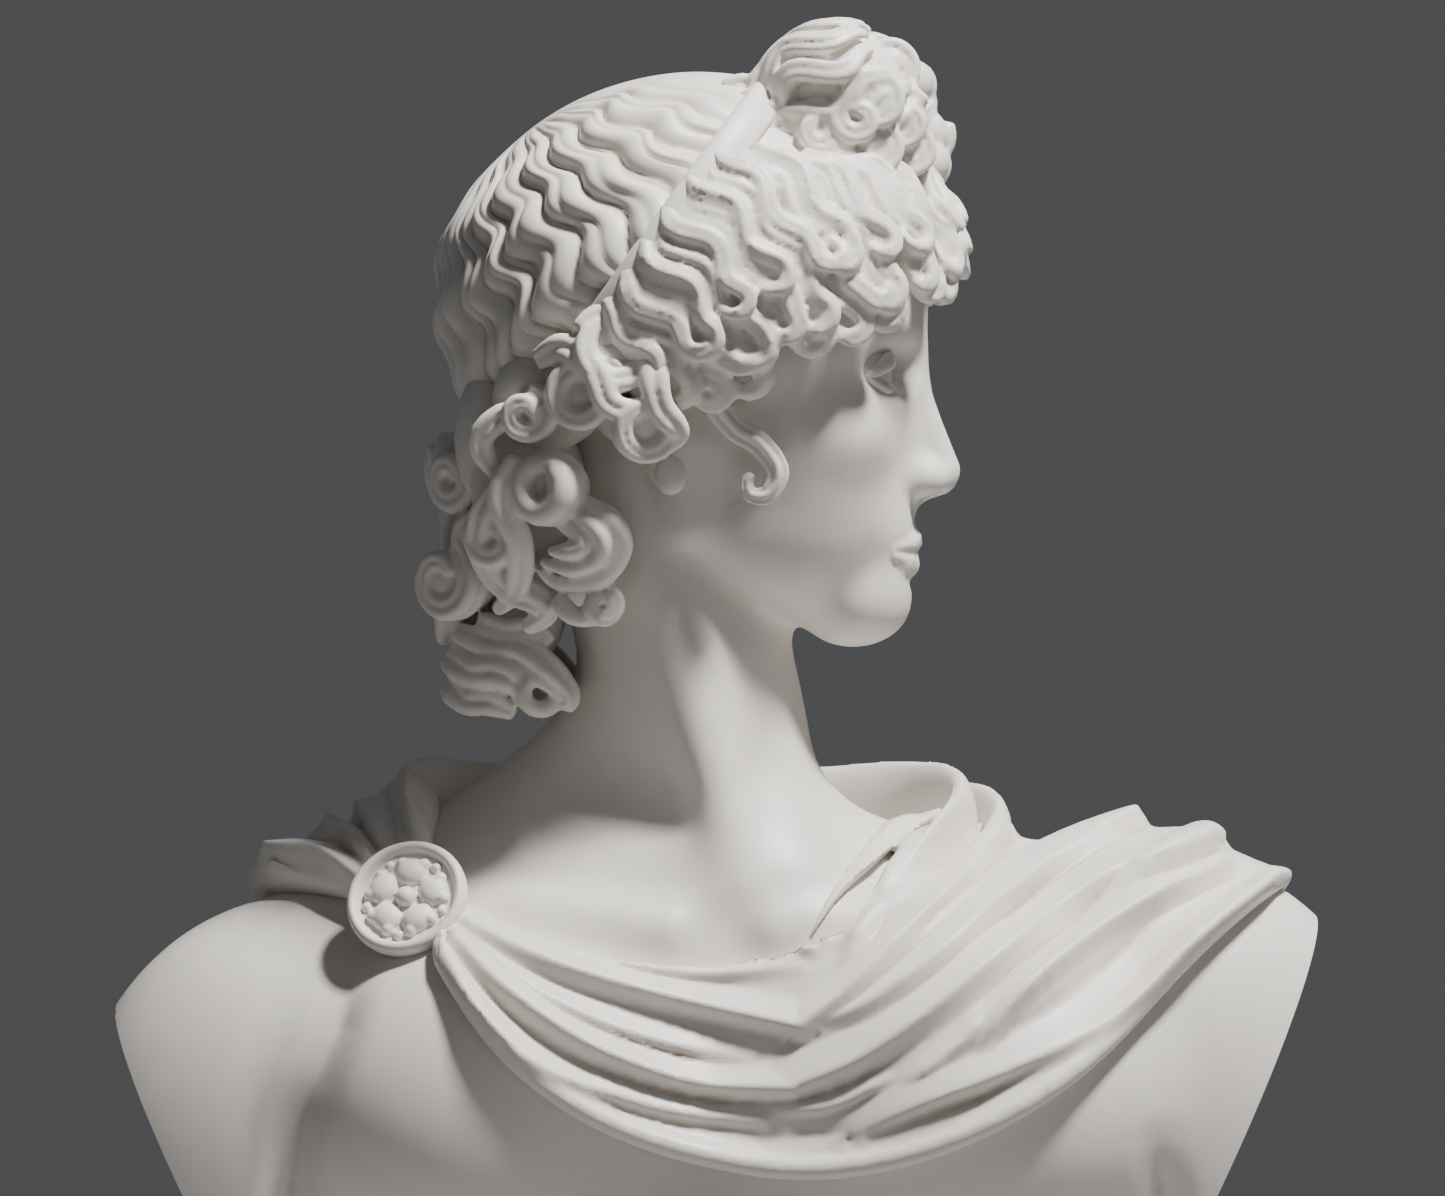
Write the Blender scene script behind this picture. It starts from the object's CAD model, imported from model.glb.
import math

import bmesh
import bpy
import numpy as np
from mathutils import Matrix, Vector
from mathutils.bvhtree import BVHTree


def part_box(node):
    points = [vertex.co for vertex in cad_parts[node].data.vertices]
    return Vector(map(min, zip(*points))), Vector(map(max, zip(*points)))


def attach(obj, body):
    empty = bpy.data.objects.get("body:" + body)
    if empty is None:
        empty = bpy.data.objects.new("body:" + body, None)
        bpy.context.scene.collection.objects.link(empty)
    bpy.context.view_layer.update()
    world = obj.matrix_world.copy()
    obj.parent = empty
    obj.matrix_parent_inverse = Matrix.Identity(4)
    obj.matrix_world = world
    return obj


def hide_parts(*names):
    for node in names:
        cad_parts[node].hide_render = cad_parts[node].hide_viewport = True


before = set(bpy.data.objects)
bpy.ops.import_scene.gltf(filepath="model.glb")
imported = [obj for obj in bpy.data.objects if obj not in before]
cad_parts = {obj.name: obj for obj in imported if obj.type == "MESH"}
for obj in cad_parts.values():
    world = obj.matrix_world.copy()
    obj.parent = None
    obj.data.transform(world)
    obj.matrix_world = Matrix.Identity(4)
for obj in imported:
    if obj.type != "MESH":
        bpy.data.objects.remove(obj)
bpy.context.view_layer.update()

MM = 0.001

# ---- The bust's own measures, read from the frame ----

torso_lo, torso_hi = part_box("torso")
head_lo, head_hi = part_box("head")
seat_z = torso_lo.z
half_w = 0.4936 * (torso_hi.x - torso_lo.x)
half_d = -0.931 * torso_lo.y
torso_h = 1.096 * (head_lo.z - seat_z)
nape_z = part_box("crown_hair")[0].z
head_h = (head_hi.z - nape_z) / 0.605
head_mid = Vector((-0.03 * head_h, 0, nape_z + 0.12 * head_h))


def chest(x, y, z):
    """A point of the torso, in shares of its half width, half depth and height."""
    return Vector((x * half_w, y * half_d, seat_z + z * torso_h))


def chest_size(x, y, z):
    return Vector((x * half_w, y * half_d, z * torso_h))


def head(x, y, z):
    """A point of the head, in head heights from the middle of the skull. X is towards the face."""
    return head_mid + head_h * Vector((x, y, z))


def head_size(x, y, z):
    return head_h * Vector((x, y, z))


# ---- Solid forms: each knows its limits, its rough shape and how far a point is from its surface ----


def length(v):
    return np.sqrt(np.einsum("...j,...j->...", v, v))


class Ball:
    """An ellipsoid, turned by pitch about Y and yaw about Z."""

    def __init__(self, at, size, pitch=0, yaw=0):
        self.at, self.size = np.array(at), np.array(size)
        turn = Matrix.Rotation(math.radians(yaw), 3, "Z") @ Matrix.Rotation(math.radians(pitch), 3, "Y")
        self.turn = np.array(turn)

    def limits(self):
        return self.at - self.size.max(), self.at + self.size.max()

    def distance(self, p):
        q = ((p - self.at) @ self.turn) / self.size
        k = length(q)
        return k * (k - 1) / np.maximum(length(q / self.size), 1e-9)

    def shape(self, bm):
        made = bmesh.ops.create_icosphere(bm, subdivisions=4, radius=1)["verts"]
        place = Matrix.Translation(self.at) @ Matrix(self.turn.tolist()).to_4x4() @ Matrix.Diagonal((*self.size, 1))
        bmesh.ops.transform(bm, matrix=place, verts=made)


class Limb:
    """A chain of round-ended cones through a list of points."""

    def __init__(self, points, radii):
        self.points = np.array([tuple(p) for p in points])
        self.radii = np.array(radii)

    def limits(self):
        return self.points.min(axis=0) - self.radii.max(), self.points.max(axis=0) + self.radii.max()

    def distance(self, p):
        best = np.full(len(p), 1e9)
        for a, b, ra, rb in zip(self.points, self.points[1:], self.radii, self.radii[1:]):
            along = b - a
            t = np.clip((p - a) @ along / (along @ along), 0, 1)
            best = np.minimum(best, length(p - a - t[:, None] * along) - ra - t * (rb - ra))
        return best

    def shape(self, bm):
        for at, radius in zip(self.points, self.radii):
            bmesh.ops.create_icosphere(bm, subdivisions=2, radius=radius, matrix=Matrix.Translation(at))
        for a, b, ra, rb in zip(self.points, self.points[1:], self.radii, self.radii[1:]):
            along = Vector(b - a)
            place = Matrix.Translation((a + b) / 2) @ along.to_track_quat("Z", "Y").to_matrix().to_4x4()
            bmesh.ops.create_cone(
                bm, cap_ends=True, segments=16, radius1=ra, radius2=rb, depth=along.length, matrix=place
            )


def nearby(p, form, room):
    """The numbers of the points in or near a form."""
    low, high = form.limits()
    return np.flatnonzero(((p > low - room) & (p < high + room)).all(axis=1))


class Blend:
    """Forms that flow into each other over a soft width."""

    def __init__(self, soft, *parts):
        self.soft, self.parts = soft, parts

    def limits(self):
        boxes = [part.limits() for part in self.parts]
        return np.min([b[0] for b in boxes], axis=0), np.max([b[1] for b in boxes], axis=0)

    def distance(self, p):
        total = self.parts[0].distance(p)
        for part in self.parts[1:]:
            near = nearby(p, part, self.soft + 6 * MM)
            mine, other = total[near], part.distance(p[near])
            h = np.maximum(self.soft - np.abs(mine - other), 0) / self.soft
            total[near] = np.minimum(mine, other) - h * h * self.soft / 4
        return total

    def shape(self, bm):
        for part in self.parts:
            part.shape(bm)


class Carve:
    """A form with softly rounded hollows cut into it."""

    def __init__(self, soft, body, *cuts):
        self.soft, self.body, self.cuts = soft, body, cuts

    def limits(self):
        return self.body.limits()

    def distance(self, p):
        total = self.body.distance(p)
        for cut in self.cuts:
            near = nearby(p, cut, self.soft + 2 * MM)
            mine, other = total[near], -cut.distance(p[near])
            h = np.maximum(self.soft - np.abs(mine - other), 0) / self.soft
            total[near] = np.maximum(mine, other) + h * h * self.soft / 4
        return total

    def shape(self, bm):
        self.body.shape(bm)


# ---- Mesh work ----


def points_of(mesh):
    flat = np.empty(3 * len(mesh.vertices))
    mesh.vertices.foreach_get("co", flat)
    return flat.reshape(-1, 3)


def put_points(mesh, points):
    mesh.vertices.foreach_set("co", points.astype(np.float32).ravel())
    mesh.update()


def gradient(field, p, step=0.05 * MM):
    here = field(p)
    slope = np.stack([(field(p + step * axis) - here) / step for axis in np.eye(3)], axis=1)
    return here, slope


def settle(p, field, rounds=4, most=1.5 * MM):
    """Moves points onto the surface where the field is nought."""
    for _ in range(rounds):
        here, slope = gradient(field, p)
        move = -here[:, None] * slope / np.maximum((slope * slope).sum(axis=1), 0.05)[:, None]
        p = p + move * np.minimum(1, most / np.maximum(length(move), 1e-12))[:, None]
    return p


def object_of(bm, name):
    mesh = bpy.data.meshes.new(name)
    bm.to_mesh(mesh)
    bm.free()
    piece = bpy.data.objects.new(name, mesh)
    bpy.context.scene.collection.objects.link(piece)
    return piece


def finish_modifiers(piece):
    """Replaces the piece's mesh by what its modifiers make of it."""
    held = bpy.context.evaluated_depsgraph_get()
    made = bpy.data.meshes.new_from_object(piece.evaluated_get(held))
    piece.modifiers.clear()
    piece.data = made
    made.name = piece.name


def opened(piece):
    """The piece's mesh, ready to be worked on."""
    bm = bmesh.new()
    bm.from_mesh(piece.data)
    return bm


def put_back(bm, piece):
    bm.to_mesh(piece.data)
    bm.free()


def trim(bm, at, away):
    """Cuts off what lies beyond a plane."""
    everything = bm.verts[:] + bm.edges[:] + bm.faces[:]
    bmesh.ops.bisect_plane(bm, geom=everything, plane_co=at, plane_no=away, clear_outer=True)


def close_rims(bm):
    bmesh.ops.holes_fill(bm, edges=[e for e in bm.edges if e.is_boundary], sides=0)


def ball(bm, at, size, fine=3):
    """An egg-shaped ball with its three half sizes."""
    made = bmesh.ops.create_icosphere(bm, subdivisions=fine, radius=1)["verts"]
    bmesh.ops.transform(bm, matrix=Matrix.Translation(at) @ Matrix.Diagonal((*size, 1)), verts=made)


def remesh(piece, voxel):
    knead = piece.modifiers.new("knead", "REMESH")
    knead.mode, knead.voxel_size = "VOXEL", voxel
    finish_modifiers(piece)


def relax(piece, rounds, factor=0.5):
    soften = piece.modifiers.new("soften", "SMOOTH")
    soften.iterations, soften.factor = rounds, factor
    finish_modifiers(piece)


def model(name, form, voxel):
    """A form as a mesh: its rough shapes kneaded into one skin, which then settles on the exact form."""
    bm = bmesh.new()
    form.shape(bm)
    piece = object_of(bm, name)
    for rounds in (10, 3):
        remesh(piece, voxel)
        relax(piece, rounds)
        put_points(piece.data, settle(points_of(piece.data), form.distance, 3))
    return piece


def smooth_path(points, count):
    """An evenly spaced smooth curve through the points."""
    p = np.array([tuple(q) for q in points])
    if len(p) == 2:
        p = np.array([p[0], (p[0] + p[1]) / 2, p[1]])
    p = np.vstack([2 * p[0] - p[1], p, 2 * p[-1] - p[-2]])
    fine = []
    for a, b, c, d in zip(p, p[1:], p[2:], p[3:]):
        for t in np.linspace(0, 1, 16, endpoint=False):
            bend, twist = 2 * a - 5 * b + 4 * c - d, 3 * b - a - 3 * c + d
            fine.append(0.5 * (2 * b + (c - a) * t + bend * t**2 + twist * t**3))
    fine.append(p[-2])
    fine = np.array(fine)
    run = np.concatenate([[0], np.cumsum(np.linalg.norm(np.diff(fine, axis=0), axis=1))])
    at = np.linspace(0, run[-1], count)
    return np.stack([np.interp(at, run, fine[:, k]) for k in range(3)], axis=1)


def unit(v):
    return v / np.maximum(np.linalg.norm(v, axis=-1, keepdims=True), 1e-12)


def sweep(bm, path, up, widths, depths, outline):
    """A closed tube along a path. The outline is a round of (side, up) pairs, one per corner."""
    tangent = unit(np.gradient(path, axis=0))
    up = unit(up - (up * tangent).sum(axis=1)[:, None] * tangent)
    side = np.cross(tangent, up)
    count = len(outline)
    made = bmesh.ops.create_grid(bm, x_segments=count, y_segments=len(path) - 1, size=1)["verts"]
    ring = np.vstack([outline, outline[:1]])
    for i, v in enumerate(made):
        row, corner = divmod(i, count + 1)
        offset = side[row] * widths[row] * ring[corner][0] + up[row] * depths[row] * ring[corner][1]
        v.co = path[row] + offset
    return made


def scalloped(strands, groove, sides=24):
    """A round outline with rounded ridges, one for each strand on its upper half."""
    a = np.arange(sides) * 2 * math.pi / sides
    r = 1 - groove * (1 - np.abs(np.sin(strands * a))) ** 1.4
    return np.stack([np.cos(a) * r, np.sin(a) * r], axis=1)


def lock(bm, points, width, depth, up, strands=3, groove=0.3, root=0.6, tip=0.3, rings=30):
    """A lock of hair along the points: a flat tube, grooved into strands, that narrows to both ends."""
    size = np.interp(np.linspace(0, 1, rings), [0, 0.18, 0.7, 0.96, 1], [root, 1, 0.9, tip, 0.6 * tip])
    size[0] = size[-1] = 0
    ups = np.tile(np.array(up), (rings, 1))
    sweep(bm, smooth_path(points, rings), ups, width * size, depth * size, scalloped(strands, groove))


def curl(bm, at, axis, start, radius, turns, width, depth, rise=0.0, inner=0.3, strands=2, groove=0.3):
    """A spiral curl about an axis through a point, wound inwards from a start direction."""
    rings = 44
    axis = np.array(axis) / np.linalg.norm(axis)
    first = np.array(start) - (np.array(start) @ axis) * axis
    first = first / np.linalg.norm(first)
    second = np.cross(axis, first)
    t = np.linspace(0, 1, rings)
    a = 2 * math.pi * turns * t
    r = radius * (1 - (1 - inner) * t)
    path = np.array(at) + r[:, None] * (np.cos(a)[:, None] * first + np.sin(a)[:, None] * second)
    path = path + (rise * t)[:, None] * axis
    size = np.interp(t, [0, 0.15, 0.8, 1], [0.7, 1, 0.75, 0.5])
    size[0] = size[-1] = 0
    sweep(bm, path, np.tile(axis, (rings, 1)), width * size, depth * size, scalloped(strands, groove))


def ease(x, low, high):
    """A smooth step from 0 at low to 1 at high."""
    t = np.clip((x - low) / (high - low), 0, 1)
    return t * t * (3 - 2 * t)


def mark_hollows(piece, reach=6):
    """Stores how deep each point lies below its smoothed neighbourhood, for the stain in the hollows."""
    mesh = piece.data
    count = len(mesh.vertices)
    pairs = np.empty(2 * len(mesh.edges), dtype=np.int64)
    mesh.edges.foreach_get("vertices", pairs)
    a, b = pairs.reshape(-1, 2).T
    near = np.maximum(np.bincount(a, minlength=count) + np.bincount(b, minlength=count), 1)
    start = points_of(mesh)
    p = start
    for _ in range(reach):
        total = np.stack(
            [np.bincount(a, p[b, k], count) + np.bincount(b, p[a, k], count) for k in range(3)], axis=1
        )
        p = 0.5 * p + 0.5 * total / near[:, None]
    normals = np.empty(3 * count)
    mesh.vertices.foreach_get("normal", normals)
    depth = ((p - start) * normals.reshape(-1, 3)).sum(axis=1) / (0.6 * MM)
    hollow = mesh.attributes.new("hollow", "FLOAT", "POINT")
    hollow.data.foreach_set("value", np.clip(0.5 + 0.5 * depth, 0, 1).astype(np.float32))


def dress(piece, material, *nodes, body="bust", slot="marble", sharp=60):
    """Gives a finished piece its material, body, slot and the CAD nodes that it stands for."""
    piece.data.materials.clear()
    piece.data.materials.append(material)
    piece.data.shade_smooth()
    piece.data.set_sharp_from_angle(angle=math.radians(sharp))
    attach(piece, body)
    if nodes:
        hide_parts(*nodes)
    return piece


# ---- Materials ----


class Shade:
    """A socket in a material, with arithmetic."""

    def __init__(self, tree, socket):
        self.tree, self.socket = tree, socket

    def make(self, kind, settings, out, *values):
        node = self.tree.nodes.new(kind)
        for key, value in settings.items():
            setattr(node, key, value)
        for place, value in values:
            socket = node.inputs[place]
            if isinstance(value, Shade):
                self.tree.links.new(value.socket, socket)
            else:
                socket.default_value = value
        return Shade(self.tree, node.outputs[out])

    def maths(self, operation, *values):
        return self.make("ShaderNodeMath", {"operation": operation}, 0, *enumerate(values))

    def __add__(self, other):
        return self.maths("ADD", self, other)

    __radd__ = __add__

    def __sub__(self, other):
        return self.maths("SUBTRACT", self, other)

    def __rsub__(self, other):
        return self.maths("SUBTRACT", other, self)

    def __mul__(self, other):
        return self.maths("MULTIPLY", self, other)

    __rmul__ = __mul__

    def absolute(self):
        return self.maths("ABSOLUTE", self)

    def clamp(self):
        return self.make("ShaderNodeClamp", {}, 0, ("Value", self))

    def noise(self, scale, detail=4.0, rough=0.55, twist=0.0):
        place = self.tree.nodes.new("ShaderNodeTexCoord")
        return self.make(
            "ShaderNodeTexNoise", {}, "Fac",
            ("Vector", Shade(self.tree, place.outputs["Object"])),
            ("Scale", scale), ("Detail", detail), ("Roughness", rough), ("Distortion", twist),
        )

    def tint(self, low, high):
        """A mix of two colours by this value."""
        return self.make(
            "ShaderNodeMix", {"data_type": "RGBA"}, 2,
            (0, self), (6, (*low, 1)), (7, (*high, 1)),
        )


def start_material(name, **constants):
    material = bpy.data.materials.new(name)
    material.use_nodes = True
    shader = material.node_tree.nodes["Principled BSDF"]
    for key, value in constants.items():
        shader.inputs[key.replace("_", " ")].default_value = value
    return material, shader, Shade(material.node_tree, None)


def feed(shader, place, value):
    shader.id_data.links.new(value.socket, shader.inputs[place])


def marble(name, hollow=True):
    """Honed white marble: warm in the hollows, with faint clouds and veins and a soft sheen."""
    material, shader, make = start_material(
        name, Subsurface_Weight=0.1, Subsurface_Radius=(1.0, 0.75, 0.55), Subsurface_Scale=1.6 * MM,
        Specular_IOR_Level=0.42, IOR=1.48, Coat_Roughness=0.35,
    )
    clouds = make.noise(14, 5.0, 0.6, 0.8)
    vein_lines = 1 - (make.noise(22, 6.0, 0.62, 1.6) * 2 - 1).absolute() * 9
    stone = clouds.tint((0.76, 0.72, 0.675), (0.83, 0.80, 0.76))
    veined = make.make(
        "ShaderNodeMix", {"data_type": "RGBA"}, 2,
        (0, vein_lines.clamp() * 0.1), (6, stone), (7, (0.62, 0.60, 0.58, 1)),
    )
    colour = veined
    if hollow:
        depth = make.make("ShaderNodeAttribute", {"attribute_name": "hollow"}, "Fac")
        stain = ((depth - 0.535) * 4.0).clamp() * 0.8
        colour = make.make(
            "ShaderNodeMix", {"data_type": "RGBA"}, 2,
            (0, stain), (6, veined), (7, (0.46, 0.36, 0.27, 1)),
        )
    feed(shader, "Base Color", colour)
    feed(shader, "Roughness", make.noise(60, 3.0) * 0.16 + 0.34)
    grain = make.noise(900, 2.0)
    bump = make.make("ShaderNodeBump", {}, 0, ("Strength", 0.06), ("Distance", 0.1 * MM), ("Height", grain))
    feed(shader, "Normal", bump)
    return material


def turned_steel():
    material, shader, make = start_material("turned_steel", Metallic=1.0)
    feed(shader, "Base Color", make.noise(200).tint((0.48, 0.48, 0.49), (0.66, 0.66, 0.67)))
    feed(shader, "Roughness", make.noise(90) * 0.25 + 0.25)
    return material


def green_felt():
    material, shader, make = start_material("green_felt", Sheen_Weight=0.4, Sheen_Roughness=0.5)
    fibres = make.noise(1400, 6.0, 0.8)
    feed(shader, "Base Color", fibres.tint((0.03, 0.07, 0.045), (0.09, 0.16, 0.11)))
    feed(shader, "Roughness", fibres * 0.1 + 0.88)
    bump = make.make("ShaderNodeBump", {}, 0, ("Strength", 0.5), ("Distance", 0.3 * MM), ("Height", fibres))
    feed(shader, "Normal", bump)
    return material


def nylon():
    material, shader, make = start_material("nylon")
    feed(shader, "Base Color", make.noise(120).tint((0.74, 0.73, 0.70), (0.82, 0.81, 0.78)))
    feed(shader, "Roughness", make.noise(300) * 0.1 + 0.5)
    return material


carved_marble = marble("carved_marble")

# ---- The body: torso, neck and head as one skin, cut into its two pieces afterwards ----

stump_right = (chest(-0.9917, 0, 0.84), Vector((-0.9, 0, -0.44)))
stump_left = (chest(1.008, 0, 0.993), Vector((0.912, 0, -0.409)))
neck_root = chest(-0.01, 0.1, 1.11)


def trunk_form():
    trunk = Blend(
        20 * MM,
        Ball(chest(0, 0, 0.64), chest_size(0.72, 0.92, 0.52)),
        Ball(chest(0, -0.02, 0.42), chest_size(0.66, 0.78, 0.42)),
        Ball(chest(-0.3, 0.3, 0.78), chest_size(0.4, 0.6, 0.34)),
        Ball(chest(0.3, 0.3, 0.68), chest_size(0.4, 0.6, 0.3)),
        Limb([chest(0, 0.12, 0.95), chest(-0.6, 0.12, 0.86)], [0.18 * half_w, 0.13 * half_w]),
        Limb([chest(0, 0, -0.05), chest(0, 0, 0.2)], [0.25 * half_w, 0.3 * half_w]),
    )
    breast = Blend(
        9 * MM,
        trunk,
        Ball(chest(-0.32, -0.46, 0.73), chest_size(0.37, 0.6, 0.27), yaw=8),
        Ball(chest(0.34, -0.46, 0.73), chest_size(0.39, 0.6, 0.27), yaw=-8),
    )
    arms = Blend(
        10 * MM,
        breast,
        Blend(
            10 * MM,
            Ball(chest(-0.66, 0, 0.7), chest_size(0.38, 0.72, 0.31)),
            Ball(chest(-0.78, 0, 0.52), chest_size(0.31, 0.62, 0.36)),
        ),
        Blend(
            10 * MM,
            Ball(chest(0.68, 0, 0.745), chest_size(0.44, 0.74, 0.34)),
            Ball(chest(0.8, 0, 0.58), chest_size(0.34, 0.62, 0.36)),
        ),
    )
    bones = Blend(
        8 * MM,
        arms,
        Limb([chest(-0.08, -0.66, 0.98), chest(-0.3, -0.56, 1.0), chest(-0.56, -0.16, 0.98)],
             [2.5 * MM, 2.5 * MM, 3 * MM]),
        Limb([chest(0.1, -0.66, 0.98), chest(0.3, -0.56, 1.0), chest(0.56, -0.16, 1.0)],
             [2.5 * MM, 2.5 * MM, 3 * MM]),
    )
    return Carve(
        8 * MM,
        bones,
        Limb([chest(0.01, -1.12, 0.92), chest(0, -1.16, 0.7)], [3 * MM, 4 * MM]),
    )


def neck_form():
    core = Limb([head(-0.1, 0, -0.14), head(-0.02, 0, -0.5), neck_root, chest(0, 0, 0.9)],
                [0.19 * head_h, 0.185 * head_h, 0.2 * head_h, 0.2 * head_h])
    slope = Limb([chest(-0.1, 0.12, 1.29), chest(-0.5, 0.12, 0.942), chest(-0.66, 0.1, 0.86)],
                 [0.1 * half_w, 0.1 * half_w, 0.1 * half_w])
    return Blend(
        10 * MM,
        core,
        slope,
        Limb([head(-0.12, -0.18, -0.16), head(-0.03, -0.17, -0.5), chest(0.04, -0.52, 1.05)],
             [4.5 * MM, 5 * MM, 4 * MM]),
        Limb([head(-0.1, 0.18, -0.16), head(0.06, 0.12, -0.5), chest(0.12, -0.45, 1.05)],
             [4.5 * MM, 5 * MM, 4 * MM]),
    )


def head_mass():
    """The head in its large planes: cranium, face, jaw, cheeks, brow and nose."""
    parts = [
        Ball(head(0, 0, 0.13), head_size(0.4, 0.325, 0.35)),
        Ball(head(0.1, 0, 0.0), head_size(0.275, 0.265, 0.36)),
        Ball(head(0.12, 0, -0.14), head_size(0.235, 0.23, 0.27)),
        Ball(head(0.235, 0, -0.29), head_size(0.145, 0.14, 0.12)),
        Ball(head(0.295, 0, -0.41), head_size(0.078, 0.085, 0.068)),
    ]
    for side in (-1, 1):
        parts += [
            Limb([head(-0.02, side * 0.225, -0.14), head(0.0, side * 0.205, -0.26), head(0.25, side * 0.06, -0.405)],
                 [0.045 * head_h, 0.05 * head_h, 0.065 * head_h]),
            Ball(head(0.205, side * 0.165, -0.12), head_size(0.1, 0.085, 0.08)),
            Ball(head(0.15, side * 0.13, -0.24), head_size(0.13, 0.1, 0.13)),
        ]
    brow = [
        Limb([head(0.35, side * 0.04, 0.06), head(0.328, side * 0.12, 0.08), head(0.245, side * 0.2, 0.05)],
             [0.018 * head_h, 0.02 * head_h, 0.018 * head_h])
        for side in (-1, 1)
    ]
    nose = Blend(
        3.5 * MM,
        Limb([head(0.352, 0, 0.07), head(0.385, 0, -0.05), head(0.43, 0, -0.175)],
             [0.026 * head_h, 0.025 * head_h, 0.03 * head_h]),
        Limb([head(0.425, 0, -0.2), head(0.365, 0, -0.222)], [0.017 * head_h, 0.02 * head_h]),
        Limb([head(0.335, 0, 0.02), head(0.352, 0, -0.16)], [0.05 * head_h, 0.06 * head_h]),
        Ball(head(0.39, -0.037, -0.192), head_size(0.04, 0.027, 0.03)),
        Ball(head(0.39, 0.037, -0.192), head_size(0.04, 0.027, 0.03)),
    )
    mass = Blend(4 * MM, Blend(8 * MM, *parts), *brow)
    sockets = [Ball(head(0.378, side * 0.118, 0.0), head_size(0.055, 0.08, 0.042)) for side in (-1, 1)]
    sockets += [Ball(head(0.343, side * 0.19, -0.002), head_size(0.055, 0.055, 0.036)) for side in (-1, 1)]
    return Blend(3.5 * MM, Carve(4 * MM, mass, *sockets), nose)


def features():
    """The head with its lips and nostrils."""
    upper = [(0.343, -0.088, -0.318, 4), (0.366, -0.05, -0.307, 13), (0.379, -0.016, -0.3, 16), (0.378, 0, -0.303, 15),
             (0.379, 0.016, -0.3, 16), (0.366, 0.05, -0.307, 13), (0.343, 0.088, -0.318, 4)]
    lower = [(0.343, -0.08, -0.324, 4), (0.36, -0.045, -0.338, 15), (0.37, 0, -0.343, 19), (0.36, 0.045, -0.338, 15),
             (0.343, 0.08, -0.324, 4)]
    parting = [(0.35, -0.095, -0.319, 3), (0.386, -0.05, -0.3215, 4.5), (0.402, 0, -0.3195, 4.5),
               (0.386, 0.05, -0.3215, 4.5), (0.35, 0.095, -0.319, 3)]

    def thin_limb(row):
        return Limb([head(x, y, z) for x, y, z, r in row], [0.001 * r * head_h for x, y, z, r in row])

    cuts = [
        thin_limb(parting),
        Limb([head(0.412, 0, -0.25), head(0.41, 0, -0.278)], [0.008 * head_h, 0.011 * head_h]),
        Ball(head(0.41, 0, -0.376), head_size(0.035, 0.07, 0.016)),
        Ball(head(0.408, -0.024, -0.222), head_size(0.022, 0.01, 0.012), pitch=-15),
        Ball(head(0.408, 0.024, -0.222), head_size(0.022, 0.01, 0.012), pitch=-15),
    ]
    return Carve(1.3 * MM, Blend(2.2 * MM, head_mass(), thin_limb(upper), thin_limb(lower)), *cuts)


trunk_and_neck = Blend(12 * MM, trunk_form(), neck_form())
large_form = Blend(5 * MM, trunk_and_neck, head_mass())
skin_form = Blend(5 * MM, trunk_and_neck, features())


def opening(p):
    """How far a point lies outside the cloak's neck opening. Low in front, a plain oval behind."""
    x, y, z = p[:, 0], p[:, 1], p[:, 2]
    u = (x - chest(-0.065, 0, 0)[0]) / (0.5 * half_w)
    v = np.minimum(z - (seat_z + 1.26 * torso_h), 0) / (0.33 * torso_h)
    front = (np.hypot(u, v) - 1) * 0.36 * torso_h
    s = (y - 0.1 * half_d) / (0.84 * half_d)
    back = (np.hypot((x - chest(-0.055, 0, 0)[0]) / (0.475 * half_w), s) - 1) * 0.4 * half_w
    share = np.clip((y / half_d + 0.3) / 0.45, 0, 1)
    share = share * share * (3 - 2 * share)
    return front * (1 - share) + back * share


# ---- The viewing point, and places found along its lines of view ----

focus = chest(0.0125, 0, 1.441)
eye = focus + Vector((0, -0.88, 0.031))


def tree_of(piece):
    return BVHTree.FromPolygons(
        [v.co.copy() for v in piece.data.vertices], [list(f.vertices) for f in piece.data.polygons]
    )


def sight(tree, spot):
    """Where the line of view through a point of the middle plane meets a surface, or else the nearest place on it."""
    hit = tree.ray_cast(eye, (spot - eye).normalized())[0]
    return tree.find_nearest(spot)[0] if hit is None else hit


def flatten_to_view(p):
    """The points of the middle plane that lie on the same lines of view."""
    e = np.array(eye)
    return e + (p - e) * (-e[1] / (p[:, 1] - e[1]))[:, None]


# ---- Body ----


def refine(piece, low, high):
    """Halves the edges of the faces inside a box."""
    bm = opened(piece)
    inside = [f for f in bm.faces if all(a < c < b for a, c, b in zip(low, f.calc_center_median(), high))]
    bmesh.ops.subdivide_edges(bm, edges=list({e for f in inside for e in f.edges}), cuts=1, use_grid_fill=True)
    bmesh.ops.triangulate(bm, faces=[f for f in bm.faces if len(f.verts) > 4])
    put_back(bm, piece)


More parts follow.
